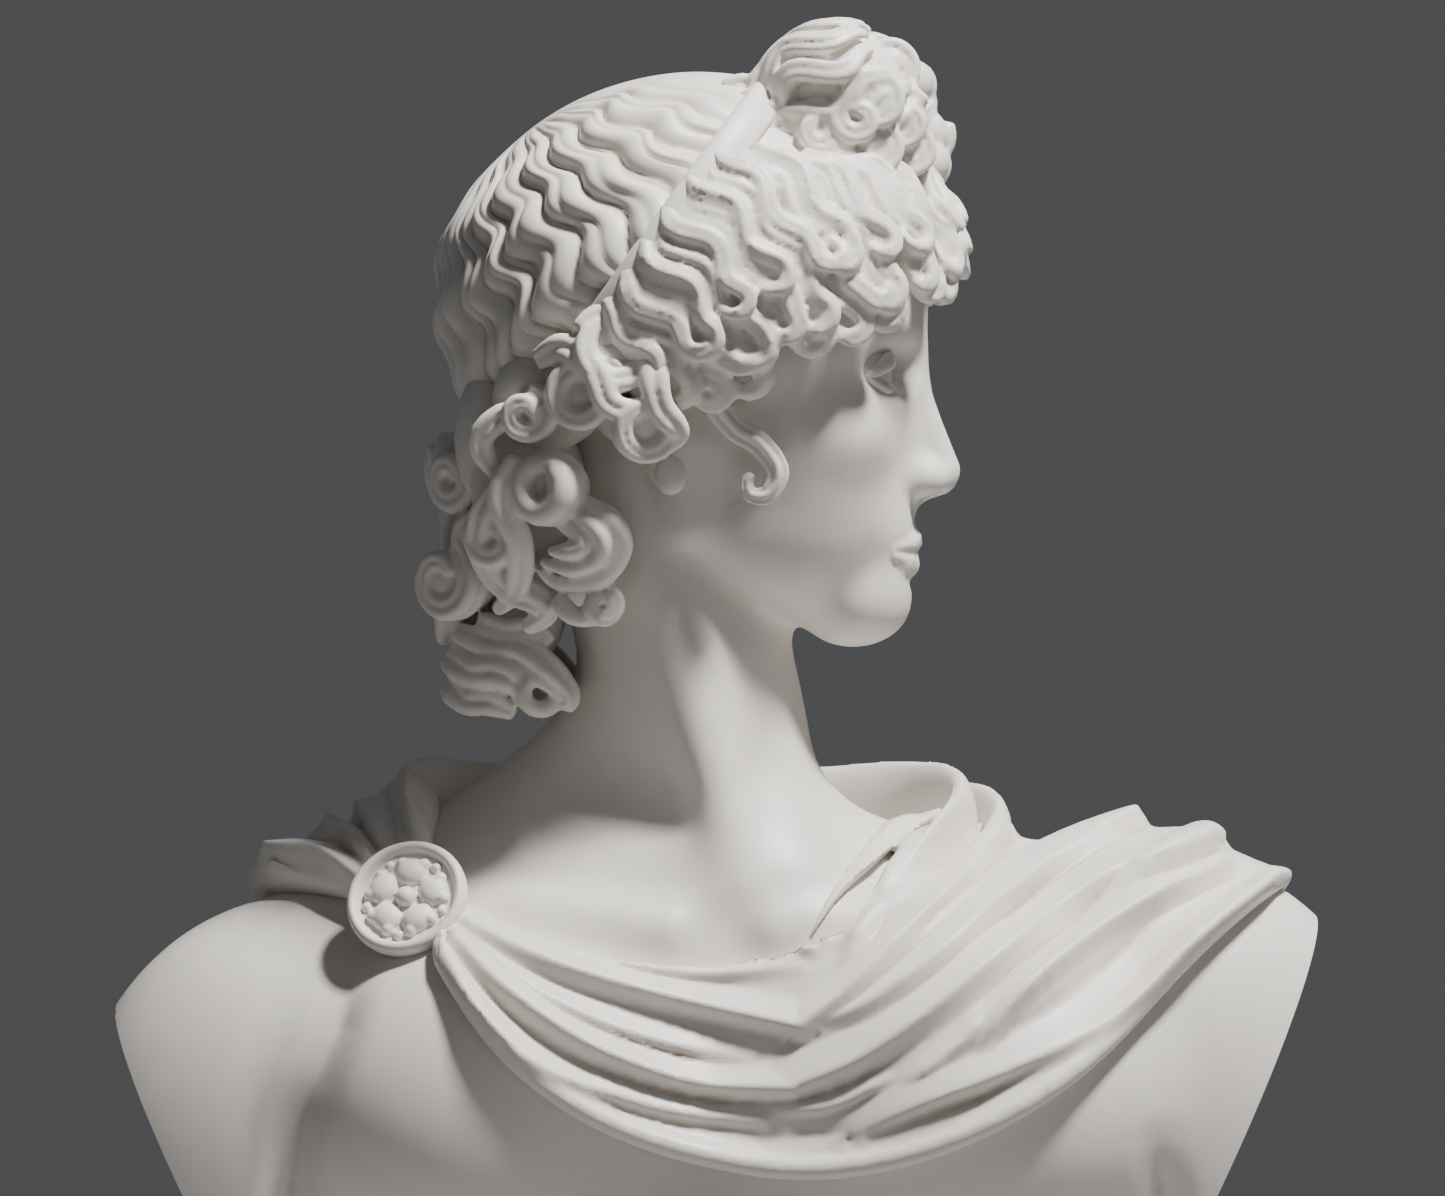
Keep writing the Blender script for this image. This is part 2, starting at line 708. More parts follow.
def relief_of(flat, lines):
    """The height of sharp folds at places in a flat view. Each fold is its crest, its height, its widths above and
    below the crest in millimetres, and its strength at its start and end."""
    top = np.zeros(len(flat))
    for crest, height, above, below, start, end in lines:
        path = smooth_path([(x * half_w, 0, seat_z + z * torso_h) for x, z in crest], 26)[:, [0, 2]]
        near = ((flat > path.min(axis=0) - 9 * MM) & (flat < path.max(axis=0) + 9 * MM)).all(axis=1)
        a, along = path[:-1], np.diff(path, axis=0)
        off = flat[near][:, None] - a
        t = np.clip((off * along).sum(axis=2) / (along * along).sum(axis=1), 0, 1)
        off = off - t[:, :, None] * along
        gap = length(off)
        best = gap.argmin(axis=1)
        rows = np.arange(len(best))
        cross = along[best, 0] * off[rows, best, 1] - along[best, 1] * off[rows, best, 0]
        far = gap[rows, best] / (np.where(cross > 0, above, below) * MM)
        strength = np.interp((best + t[rows, best]) / len(a), [0, 0.25, 0.8, 1], [start, 1, 1, end])
        rounded = np.sqrt(far * far + 0.012) - 0.11
        top[near] = np.maximum(top[near], height * MM * strength * np.clip(1 - rounded, 0, 1) ** 1.5)
    return top


body = model("body", large_form, 1.3 * MM)
refine(body, head(0.1, -0.3, -0.52), head(0.6, 0.3, 0.2))
put_points(body.data, settle(points_of(body.data), large_form.distance, 1))
refine(body, head(0.3, -0.11, -0.39), head(0.48, 0.11, -0.16))
for _ in range(3):
    put_points(body.data, settle(points_of(body.data), skin_form.distance, 2, 0.4 * MM))
    relax(body, 1, 0.3)
put_points(body.data, settle(points_of(body.data), skin_form.distance, 2, 0.4 * MM))

# The creases between the arms and the breast.
places, normals = points_of(body.data), np.array([tuple(v.normal) for v in body.data.vertices])
creases = [([(-0.6, 0.93), (-0.625, 0.84), (-0.665, 0.752), (-0.705, 0.66), (-0.715, 0.5)], 2.2, 7, 6, 0.1, 1.0),
           ([(0.73, 0.3), (0.75, 0.5), (0.74, 0.64)], 2.0, 6, 7, 1.0, 0.3)]
sink = relief_of(flatten_to_view(places)[:, [0, 2]], creases) * (normals[:, 1] < -0.1)
put_points(body.data, places - sink[:, None] * normals)

bm = opened(body)
for at, away in (stump_right, stump_left, (Vector((0, 0, seat_z)), Vector((0, 0, -1)))):
    trim(bm, at, away)
    close_rims(bm)
put_back(bm, body)
mark_hollows(body, 3)
skin = tree_of(body)


def part_of(piece, name, keep):
    """A copy of a piece with only the faces that keep accepts, closed along the cut by a turned-down rim."""
    bm = opened(piece)
    centres = np.array([tuple(f.calc_center_median()) for f in bm.faces])
    chosen = keep(centres)
    bmesh.ops.delete(bm, geom=[f for f, k in zip(bm.faces, chosen) if not k], context="FACES")
    rim = [e for e in bm.edges if e.is_boundary]
    turned = bmesh.ops.extrude_edge_only(bm, edges=rim)["geom"]
    for v in turned:
        if isinstance(v, bmesh.types.BMVert):
            v.co -= 4 * MM * Vector((0, 0, 1))
    close_rims(bm)
    return object_of(bm, name)


def bare(p):
    return (opening(p) < 2.5 * MM) & (p[:, 2] > seat_z + 0.8 * torso_h)


head_piece = part_of(body, "head_carving", bare)
bm = opened(head_piece)
for side in (-1, 1):
    # An eye between two lids.
    centre = head(0.262, side * 0.125, -0.012)
    place = Matrix.Translation(centre) @ Matrix.Rotation(math.pi / 2, 4, "Y")
    bmesh.ops.create_uvsphere(bm, u_segments=48, v_segments=24, radius=0.073 * head_h, matrix=place)
    for lid, (height, droop, wide, thick) in enumerate(((26, 4, 1.25, 0.012), (-19, 4, 1.2, 0.009))):
        a = np.radians(np.linspace(-74, 74, 40))
        lift = np.radians(height * np.cos(a * wide) - droop)
        across = np.cos(lift) * np.array([np.cos(a - 0.06), side * np.sin(a - 0.06)])
        out = np.stack([*across, np.sin(lift)], axis=1)
        path = np.array(centre) + 0.0735 * head_h * out
        size = np.sin(np.linspace(0, math.pi, 40)) ** 0.5
        size = thick * head_h * size
        sweep(bm, path, out, (1.5 if lid == 0 else 1.2) * size, size, scalloped(0, 0, 16))
    # An ear: a rolled rim round a shallow bowl, and its lobe.
    rim = [head(-0.07 + 0.047 * math.cos(a) - 0.014 * math.sin(a), side * (0.272 + 0.014 * math.cos(a - 2.6)),
                -0.1 + 0.085 * math.sin(a)) for a in np.radians(np.linspace(-100, 215, 14))]
    lock(bm, rim, 1.5 * MM, 1.6 * MM, up=(0, side, 0), strands=0, groove=0, root=0.9, tip=0.7, rings=50)
    inner = [head(-0.075 + 0.026 * math.cos(a), side * 0.268, -0.115 + 0.05 * math.sin(a))
             for a in np.radians(np.linspace(-60, 130, 10))]
    lock(bm, inner, 1.2 * MM, 1.3 * MM, up=(0, side, 0), strands=0, groove=0, root=0.7, tip=0.6, rings=40)
    for x, y, z, size in ((-0.07, 0.232, -0.1, (0.05, 0.03, 0.085)), (-0.056, 0.248, -0.15, (0.034, 0.022, 0.055)),
                          (-0.045, 0.265, -0.183, (0.027, 0.014, 0.034)), (-0.03, 0.262, -0.115, (0.014, 0.012, 0.02))):
        ball(bm, head(x, side * y, z), head_size(*size), 4)
bmesh.ops.recalc_face_normals(bm, faces=bm.faces[:])
put_back(bm, head_piece)
dress(head_piece, carved_marble, "head")
dress(part_of(body, "torso_carving", lambda p: ~bare(p)), carved_marble, "torso")

# ---- Cloak ----


def along_skin(points, rings, lifts):
    """A path that runs over the skin, with the skin's normals."""
    path = smooth_path(points, rings)
    ups = np.empty_like(path)
    for k, q in enumerate(path):
        hit, normal, *_ = skin.find_nearest(Vector(q))
        ups[k] = normal
        path[k] = hit + float(lifts[k]) * normal
    for _ in range(3):
        ups[1:-1] = unit(ups[:-2] + 2 * ups[1:-1] + ups[2:])
        path[1:-1] = (path[:-2] + 2 * path[1:-1] + path[2:]) / 4
    return path, ups


def fold(bm, points, width, height, lift=2.0, start=0.5, end=0.5):
    """A rounded fold of cloth over the skin, in millimetres, narrower towards its two ends."""
    rings = 44
    t = np.linspace(0, 1, rings)
    swell = np.interp(t, [0, 0.25, 0.75, 1], [start, 1, 1, end])
    path, ups = along_skin(points, rings, MM * lift * (0.4 + 0.6 * swell))
    swell[0] = swell[-1] = 0
    sweep(bm, path, ups, width * MM * swell / 2, height * MM * swell, scalloped(0, 0.0, 14))


def front(x, z):
    return sight(skin, chest(x, 0, z))


hem_line = [(-0.47, 0.93), (-0.41, 0.84), (-0.325, 0.75), (-0.16, 0.665), (0.075, 0.613), (0.26, 0.62),
            (0.44, 0.67), (0.61, 0.765), (0.79, 0.925), (0.935, 1.02)]
back_hem = [(-0.72, 0.95), (-0.66, 0.75), (-0.5, 0.5), (-0.25, 0.34), (0.1, 0.285), (0.45, 0.35), (0.72, 0.52),
            (0.88, 0.75), (0.93, 0.98)]


def covered(p):
    """True where the cloak lies on the skin."""
    flat = flatten_to_view(p)
    x, z = flat[:, 0] / half_w, (flat[:, 2] - seat_z) / torso_h
    hx, hz = np.array(hem_line).T
    in_front = (z > np.interp(x, hx, hz)) & (x > -0.46) & (x < 0.93)
    bx, bz = np.array(back_hem).T
    sx, sy, sz = p[:, 0] / half_w, p[:, 1] / half_d, (p[:, 2] - seat_z) / torso_h
    behind = (sz > np.interp(sx, bx, bz)) & (sx > -0.74) & (sx < 0.93)
    over = (sx > -0.46) | (sy > -0.56 + (-0.49 - sx) * 2.6)
    on_gather = (sx <= -0.46) & over & (sz > 0.9)
    return np.where(sy < 0.1, in_front & (sx > -0.46) | on_gather, behind) & (opening(p) > 0.5 * MM)


bm = opened(body)
centres = np.array([tuple(f.calc_center_median()) for f in bm.faces])
bmesh.ops.delete(bm, geom=[f for f, k in zip(bm.faces, covered(centres)) if not k], context="FACES")
for v in bm.verts:
    v.co += 0.5 * MM * v.normal
cloak = object_of(bm, "cloak")
cloth = cloak.modifiers.new("cloth", "SOLIDIFY")
cloth.thickness, cloth.offset = 3.2 * MM, 1
finish_modifiers(cloak)

bm = opened(cloak)
# The folds that come down from the other shoulder.
left_folds = [
    ([(0.15, 0.934), (0.19, 0.993), (0.24, 1.044), (0.325, 1.102), (0.385, 1.146)], 0.42, 7, 3.6),
    ([(0.15, 0.87), (0.26, 0.971), (0.36, 1.073), (0.475, 1.142)], 0.52, 9, 4.4),
    ([(0.13, 0.81), (0.275, 0.854), (0.41, 0.956), (0.56, 1.058), (0.69, 1.112)], 0.66, 12, 5.0),
    ([(0.2, 0.69), (0.31, 0.723), (0.475, 0.825), (0.675, 0.971), (0.82, 1.065)], 0.8, 13, 5.2),
]
for points, far_x, width, height in left_folds:
    over = [front(x, z) for x, z in points]
    top_x = points[-1][0]
    over += [chest(top_x, 0.15, points[-1][1] + 0.04), chest(far_x, 0.8, points[-1][1] - 0.12),
             chest(far_x * 0.95, 1.0, points[-1][1] - 0.35)]
    fold(bm, over, width * 0.8, height * 0.75, 2.6, 0.1, 0.4)
# The rolled hem, in front and behind.
fold(bm, [front(x, z) for x, z in hem_line] + [chest(0.95, 0.2, 1.03), chest(0.93, 0.8, 0.9)], 5, 3.0, 3.2, 0.7, 0.7)
fold(bm, [chest(x, 1, z) for x, z in back_hem], 7, 3.4, 3.0, 0.6, 0.6)
# The collar: two upstanding rims, the outer one lower and thinner.
for inset, drop, rim_width in ((0.0, 0.0, 3.2), (0.06, -0.03, 2.6)):
    rim = [(-0.46, -0.35, 0.99), (-0.49, -0.22, 1.06), (-0.52, 0.02, 1.11), (-0.5, 0.3, 1.135), (-0.4, 0.7, 1.12),
           (-0.2, 1.0, 1.1), (0.1, 1.0, 1.1), (0.32, 0.75, 1.12), (0.41, 0.3, 1.12), (0.4, -0.1, 1.09),
           (0.33, -0.45, 1.02), (0.25, -0.75, 0.94), (0.19, -0.9, 0.87)]
    wider = [chest(x * (1 + inset) + 0.6 * inset * (x > 0), y * (1 + inset), z + drop) for x, y, z in rim]
    path = smooth_path(wider, 90)
    size = np.interp(np.linspace(0, 1, 90), [0, 0.06, 0.94, 1], [0.4, 1, 1, 0.4])
    size[0] = size[-1] = 0
    a = np.linspace(0, 2 * math.pi, 24, endpoint=False)
    tall = np.stack([np.cos(a), np.sin(a) - 0.8 * (np.sin(a) < 0)], axis=1)
    sweep(bm, path, np.tile([0, 0, 1.0], (90, 1)), rim_width * MM * size, 9 * MM * size, tall)
# The bundle over the shoulder that bears the brooch.
for x, y, z, width in ((-0.73, 0.1, 1.06, 11), (-0.66, 0.1, 1.12, 10), (-0.59, 0.1, 1.16, 9), (-0.53, 0.1, 1.18, 9)):
    fold(bm, [chest(-0.49, -0.56, 1.01), chest((x - 0.49) / 2, -0.25, (z + 1.01) / 2 + 0.02), chest(x, y, z),
              chest(x - 0.02, 0.6, z - 0.1), chest(x * 0.9, 0.95, z - 0.35), chest(x * 0.7, 1.0, z - 0.6)],
         width, 6.0, 4.0, 0.5, 0.4)
# The hanging folds of the back, the first of them just under the collar.
fold(bm, [chest(-0.56, 0.85, 1.04), chest(-0.3, 0.98, 0.99), chest(0, 1.0, 0.965), chest(0.35, 0.98, 0.98),
          chest(0.62, 0.85, 1.03)], 20, 4.0, 2.0, 0.6, 0.6)
for k in range(5):
    drop = 0.13 * k
    fold(bm, [chest(-0.62 + 0.03 * k, 0.9, 1.0 - drop), chest(-0.35, 1, 0.88 - 1.15 * drop),
              chest(0.05, 1, 0.8 - 1.2 * drop), chest(0.45, 1, 0.88 - 1.15 * drop),
              chest(0.75, 0.9, 1.0 - drop)], 10, 4.0, 3.0, 0.4, 0.4)
put_back(bm, cloak)
remesh(cloak, 0.75 * MM)
relax(cloak, 2)

# Each sharp fold: its crest, its height, its widths above and below the crest, and its strength at either end.
sharp_folds = [
    ([(-0.392, 0.993), (-0.258, 0.958), (-0.125, 0.937), (0.008, 0.93), (0.155, 0.942)], 2.2, 3.0, 2.4, 0.6, 0.8),
    ([(-0.4, 0.98), (-0.28, 0.937), (-0.16, 0.912), (-0.025, 0.893), (0.142, 0.905)], 1.5, 3.2, 2.4, 0.8, 0.3),
    ([(-0.41, 0.965), (-0.292, 0.912), (-0.158, 0.874), (-0.025, 0.845), (0.142, 0.813)], 3.4, 6.0, 3.0, 0.6, 0.9),
    ([(-0.42, 0.957), (-0.31, 0.875), (-0.2, 0.825), (-0.08, 0.79), (0.05, 0.765)], 1.8, 4.0, 2.6, 0.8, 0.2),
    ([(-0.433, 0.945), (-0.358, 0.876), (-0.258, 0.81), (-0.158, 0.766), (-0.025, 0.73), (0.13, 0.723)],
     3.4, 6.0, 3.2, 0.6, 0.8),
    ([(-0.448, 0.93), (-0.392, 0.839), (-0.292, 0.76), (-0.175, 0.716), (-0.058, 0.688), (0.075, 0.675)],
     2.2, 4.0, 2.6, 0.7, 0.4),
    ([(0.155, 0.942), (0.192, 0.993), (0.258, 1.044), (0.342, 1.102), (0.392, 1.146)], 2.6, 3.0, 4.0, 0.8, 0.8),
    ([(0.142, 0.813), (0.225, 0.869), (0.308, 0.942), (0.408, 1.029), (0.508, 1.109)], 3.4, 5.0, 3.6, 0.9, 0.8),
    ([(0.167, 0.822), (0.258, 0.85), (0.375, 0.92), (0.492, 1.005), (0.608, 1.08), (0.7, 1.125)],
     3.2, 6.0, 3.4, 0.4, 0.9),
    ([(0.208, 0.781), (0.308, 0.84), (0.408, 0.915), (0.54, 1.01)], 1.4, 3.6, 2.2, 0.2, 0.2),
    ([(0.125, 0.723), (0.242, 0.766), (0.358, 0.835), (0.458, 0.905), (0.575, 0.985), (0.692, 1.05), (0.817, 1.088)],
     3.6, 8.0, 3.4, 0.7, 0.9),
    ([(0.45, 0.774), (0.48, 0.835), (0.575, 0.915), (0.692, 0.985), (0.842, 1.051)], 3.0, 4.5, 3.0, 0.2, 0.9),
    ([(0.308, 0.723), (0.408, 0.79), (0.46, 0.85)], 1.4, 3.4, 2.2, 0.2, 0.1),
    ([(0.242, 0.66), (0.358, 0.705), (0.475, 0.745), (0.608, 0.80), (0.708, 0.865), (0.808, 0.945), (0.917, 1.015)],
     3.0, 7.0, 3.0, 0.4, 0.9),
    ([(0.1, 0.69), (0.2, 0.7), (0.3, 0.745)], 1.4, 3.0, 2.2, 0.3, 0.1),
    ([(-0.583, 1.025), (-0.658, 1.065), (-0.745, 1.07)], 2.4, 2.4, 3.0, 0.5, 1.0),
    ([(-0.567, 1.051), (-0.617, 1.1), (-0.66, 1.125)], 2.4, 2.4, 3.0, 0.5, 1.0),
    ([(-0.55, 1.073), (-0.583, 1.12), (-0.612, 1.155)], 2.2, 2.2, 2.6, 0.5, 1.0),
    ([(-0.492, 1.08), (-0.508, 1.13), (-0.505, 1.18)], 2.0, 2.0, 2.4, 0.5, 1.0),
    ([(-0.592, 0.99), (-0.675, 1.02), (-0.735, 1.045)], 1.8, 2.0, 2.0, 0.5, 1.0),
]
places, normals = points_of(cloak.data), np.array([tuple(v.normal) for v in cloak.data.vertices])
found = [skin.find_nearest(Vector(p)) for p in places]
outward, above_skin = np.array([tuple(hit[1]) for hit in found]), np.array([hit[3] for hit in found])
outside = ease((normals * outward).sum(axis=1), -0.1, 0.3) * ease(above_skin, 1.6 * MM, 2.8 * MM)
flat = flatten_to_view(places)[:, [0, 2]]
inside_hem = flat[:, 1] - seat_z - torso_h * np.interp(flat[:, 0] / half_w, *np.array(hem_line).T)
before = 1 - ease(places[:, 1] / half_d, 0.0, 0.5)
sunk = 1.3 * MM * ease(inside_hem, 2 * MM, 6 * MM) * (flat[:, 0] > -0.45 * half_w)
rise = (relief_of(flat, sharp_folds) - sunk) * before
# The swags of the back, seen from straight behind, a high one and a low one by turns.
swags = []
for k in range(11):
    drop = 0.065 * k - 0.02
    swags.append(([(-0.62 + 0.015 * k, 1.0 - drop), (-0.33, 0.88 - 1.15 * drop),
                   (0.05 + 0.04 * (k % 2), 0.8 - 1.2 * drop), (0.45, 0.88 - 1.15 * drop), (0.75, 1.0 - drop)],
                  2.4 - 1.1 * (k % 2), 4.5, 2.6, 0.7, 0.7))
rise += relief_of(places[:, [0, 2]], swags) * ease(places[:, 1] / half_d, 0.35, 0.8)
put_points(cloak.data, places + (rise * outside)[:, None] * outward)
relax(cloak, 1)
mark_hollows(cloak)


def slab(piece, name, planes):
    """The part of a piece behind all the planes, with closed cuts."""
    bm = opened(piece)
    for at, away in planes:
        trim(bm, at, away)
        close_rims(bm)
    return object_of(bm, name)


gather_x, pile_x, seam_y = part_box("cloak_front")[0].x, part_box("cloak_front")[1].x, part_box("cloak_front")[1].y
left, right, back = Vector((1, 0, 0)), Vector((-1, 0, 0)), Vector((0, 1, 0))
at_gather, at_pile, at_seam = Vector((gather_x, 0, 0)), Vector((pile_x, 0, 0)), Vector((0, seam_y, 0))
for name, node, planes in (
    ("gather_carving", "shoulder_gather", [(at_gather, left)]),
    ("pile_carving", "shoulder_pile", [(at_pile, right)]),
    ("cloak_front_carving", "cloak_front", [(at_gather, right), (at_pile, left), (at_seam, back)]),
    ("cloak_back_carving", "cloak_back", [(at_gather, right), (at_pile, left), (at_seam, -back)]),
):
    dress(slab(cloak, name, planes), carved_marble, node)

# ---- Brooch: a dished disc in a rounded rim, with a rosette of five petals round a boss ----

rim_lo, rim_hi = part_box("brooch_rim")
brooch_mid = (rim_lo + rim_hi) / 2
brooch_r = 0.5 * (rim_hi.x - rim_lo.x)
brooch_tilt = Matrix.Rotation(math.radians(-16), 4, "Z") @ Matrix.Rotation(math.radians(58), 4, "X")
brooch_place = Matrix.Translation(brooch_mid) @ brooch_tilt


def turned_disc(bm, outline, place):
    """A closed turned form from a half outline of (radius, height) pairs that starts and ends on the axis."""
    verts = [bm.verts.new((r, 0, z)) for r, z in outline]
    edges = [bm.edges.new(pair) for pair in zip(verts, verts[1:])]
    bmesh.ops.spin(
        bm, geom=verts + edges, axis=(0, 0, 1), cent=(0, 0, 0), steps=96, angle=2 * math.pi, use_merge=True
    )
    bmesh.ops.remove_doubles(bm, verts=bm.verts[:], dist=0.0001 * MM)
    bmesh.ops.transform(bm, matrix=place, verts=bm.verts)
    bmesh.ops.recalc_face_normals(bm, faces=bm.faces)


# The disc's half outline, in shares of its radius: flat back, rounded rim, and the shallow dish inside it.
disc_outline = ((0, -0.2), (0.9, -0.2), (0.97, -0.1), (0.99, 0.06), (0.97, 0.15), (0.92, 0.2), (0.86, 0.205),
                (0.81, 0.16), (0.785, 0.08), (0.76, 0.06), (0.4, 0.075), (0, 0.08))
bm = bmesh.new()
turned_disc(bm, [(out * brooch_r, up * brooch_r) for out, up in disc_outline], brooch_place)
rim_piece = object_of(bm, "brooch_rim_carving")
soft = rim_piece.modifiers.new("soft", "SUBSURF")
soft.levels = soft.render_levels = 1
finish_modifiers(rim_piece)
mark_hollows(rim_piece, 4)
dress(rim_piece, carved_marble, "brooch_rim", sharp=50)

petal_parts = ((0, 0.44, (0.24, 0.27, 0.17)), (-0.3, 0.6, (0.12, 0.11, 0.13)), (0.3, 0.6, (0.12, 0.11, 0.13)))
bm = bmesh.new()
for petal in range(5):
    round_by = 2 * math.pi * petal / 5 + 0.3
    for spread, out, size in petal_parts:
        spot = Matrix.Rotation(round_by + spread, 4, "Z") @ Matrix.Translation((out * brooch_r, 0, 0.06 * brooch_r))
        part = brooch_place @ spot @ Matrix.Diagonal((*size, 1))
        bmesh.ops.create_icosphere(bm, subdivisions=4, radius=brooch_r, matrix=part)
    spot = Matrix.Rotation(round_by + math.pi / 5, 4, "Z") @ Matrix.Translation((0.66 * brooch_r, 0, 0.06 * brooch_r))
    bmesh.ops.create_icosphere(bm, subdivisions=3, radius=0.09 * brooch_r, matrix=brooch_place @ spot)
boss = brooch_place @ Matrix.Translation((0, 0, 0.1 * brooch_r))
bmesh.ops.create_icosphere(bm, subdivisions=4, radius=0.17 * brooch_r, matrix=boss)
rosette = object_of(bm, "brooch_rosette_carving")
remesh(rosette, 0.3 * MM)
relax(rosette, 2)
mark_hollows(rosette, 5)
dress(rosette, carved_marble, "brooch_rosette", sharp=80)

for helper in (body, cloak):
    bpy.data.objects.remove(helper)

# ---- Hair: everything flows from a whorl high on the back of the head ----

egg_mid = np.array(head(0, 0, 0.13))
egg_size = np.array(head_size(0.41, 0.33, 0.355)) + 3.6 * MM
egg_r = egg_size.mean()
whorl = unit((np.array(head(-0.27, 0, 0.41)) - egg_mid) / egg_size)
ahead = unit(np.array([1.0, 0, 0]) - whorl[0] * whorl)
aside = np.cross(whorl, ahead)
fillet_at, fillet_away = head(-0.11, 0, 0.14), Vector((0.81, 0, -0.58)).normalized()


def on_scalp(theta, phi, lift=0.0):
    """The point of the hair at an angle down from the whorl and an angle round it, and its outward direction."""
    theta, phi = np.asarray(theta)[:, None], np.asarray(phi)[:, None]
    n = np.cos(theta) * whorl + np.sin(theta) * (np.cos(phi) * ahead + np.sin(phi) * aside)
    out = unit(n / egg_size)
    return egg_mid + n * egg_size + np.asarray(lift).reshape(-1, 1) * out, out


def angles_of(p):
    n = unit((np.array(p) - egg_mid) / egg_size)
    return math.acos(np.clip(n @ whorl, -1, 1)), math.atan2(n @ aside, n @ ahead)


def combed_cap(strands, per_strand, rows, far, wave, wavelength, relief, seed):
    """A cap of combed strands that run out from the whorl in step, in waves that grow down the sides."""
    chance = np.random.default_rng(seed)
    parted = np.arange(strands + 1) % 3 == 0
    groove = 0.55 + 0.75 * chance.random(strands + 1) * parted + 0.25 * chance.random(strands + 1)
    groove[-1] = groove[0]
    drift = np.cumsum(chance.normal(0, 0.35, strands + 1))
    drift = drift - np.linspace(0, drift[-1], strands + 1)
    bm = bmesh.new()
    columns = strands * per_strand
    made = bmesh.ops.create_grid(bm, x_segments=columns, y_segments=rows, size=1)["verts"]
    row, column = np.divmod(np.arange(len(made)), columns + 1)
    theta = far * (row / rows) ** 0.9 + 1e-4
    uneven = 0.3 * chance.uniform(-1, 1, strands + 1)
    edges = np.arange(strands + 1) + np.where(np.arange(strands + 1) % strands, uneven, 0)
    place = np.interp(column / per_strand, edges, np.arange(strands + 1))
    phi0 = column / columns * 2 * math.pi
    side = np.abs(np.angle(np.exp(1j * phi0)))
    power = ease(side, 0.35, 1.15)
    run = theta * egg_r
    grow = ease(theta, 0.25, 0.85)
    wander = 0.7 * np.sin(3 * phi0 + 1) + 0.5 * np.sin(7 * phi0 + 2 * theta) + 0.4 * np.sin(4 * theta + 2 * phi0)
    phase = 2 * math.pi * run / wavelength + 0.6 * np.interp(place, np.arange(strands + 1), drift) + wander
    sway = np.sin(phase) + 0.1 * np.sin(0.5 * phase + 4 * phi0)
    shift = wave * grow * (0.18 + 0.82 * power) * (0.85 + 0.2 * np.sin(5 * phi0)) * sway * np.sign(np.sin(phi0) + 1e-9)
    phi = phi0 + shift / (egg_r * np.maximum(np.sin(theta), 0.2))
    inner, frac = np.floor(place).astype(int) % strands, place - np.floor(place)
    depth = np.where(frac < 0.5, groove[inner], groove[inner + 1])
    fine = 0.4 * (1 - depth * (1 - np.abs(np.sin(math.pi * frac)) ** 0.65))
    broad = 0.75 * np.abs(np.sin(math.pi * place / 2 + 0.5 * np.sin(phase * 0.5))) ** 0.75
    height = relief * (0.12 + 0.88 * power) * ease(theta, 0.1, 0.75) * (fine + broad)
    height = height + relief * 0.3 * grow * power * np.sin(phase + 0.8)
    points, _ = on_scalp(theta, phi, height)
    for v, p in zip(made, points):
        v.co = p
    bmesh.ops.remove_doubles(bm, verts=bm.verts[:], dist=0.02 * MM)
    return bm


def close_under(bm):
    """Closes an open cap by turning its rim in towards the middle of the head."""
    rim = [e for e in bm.edges if e.is_boundary]
    for v in bmesh.ops.extrude_edge_only(bm, edges=rim)["geom"]:
        if isinstance(v, bmesh.types.BMVert):
            v.co = v.co.lerp(Vector(egg_mid), 0.12)
    close_rims(bm)
    bmesh.ops.recalc_face_normals(bm, faces=bm.faces[:])


bm = combed_cap(54, 8, 130, 2.2, 1.75 * MM, 14.5 * MM, 2.3 * MM, 3)
trim(bm, fillet_at + 1 * MM * fillet_away, fillet_away)
trim(bm, Vector((0, 0, nape_z)), Vector((0, 0, -1)))
close_under(bm)
crown = object_of(bm, "crown_carving")
mark_hollows(crown)
dress(crown, carved_marble, "crown_hair", sharp=80)

# The plain band that holds the hair.
bm = bmesh.new()
middle = Vector(egg_mid) - (Vector(egg_mid) - fillet_at).dot(fillet_away) * fillet_away
up_band = Vector((-fillet_away.z, 0, fillet_away.x)).normalized()
turn = np.radians(np.linspace(-150, 150, 90))
rays = np.outer(np.cos(turn), up_band) + np.outer(np.sin(turn), (0, 1, 0))
band_size = egg_size + 1.6 * MM
c = (np.array(middle) - egg_mid) / band_size
d = rays / band_size
dd, dc = (d * d).sum(axis=1), d @ c
reach = (-dc + np.sqrt(dc * dc - dd * (c @ c - 1))) / dd
path = np.array(middle) + reach[:, None] * rays
size = np.ones(len(turn))
size[0] = size[-1] = 0
flat_round = np.array([(1, -1), (1, 0), (0.96, 0.5), (0.75, 0.85), (0, 1), (-0.75, 0.85), (-0.96, 0.5), (-1, 0),
                       (-1, -1)])
sweep(bm, path, unit(path - np.array(middle)), 3.6 * MM * size, 1.3 * MM * size, flat_round)
band = object_of(bm, "band_carving")
dress(band, carved_marble, "hair_fillet", sharp=50)

# A plain egg under the locks, to lay them on.
bm = bmesh.new()
bmesh.ops.create_icosphere(bm, subdivisions=5, radius=1)
bmesh.ops.transform(bm, matrix=Matrix.Translation(egg_mid) @ Matrix.Diagonal((*egg_size, 1)), verts=bm.verts)
egg = object_of(bm, "egg")
scalp = tree_of(egg)


def hair_at(x, z, side):
    """A place on the scalp along the line of view through a point of the head's middle plane, in head heights."""
    p = sight(scalp, head(x, 0, z))
    return Vector((p.x, -side * p.y, p.z))


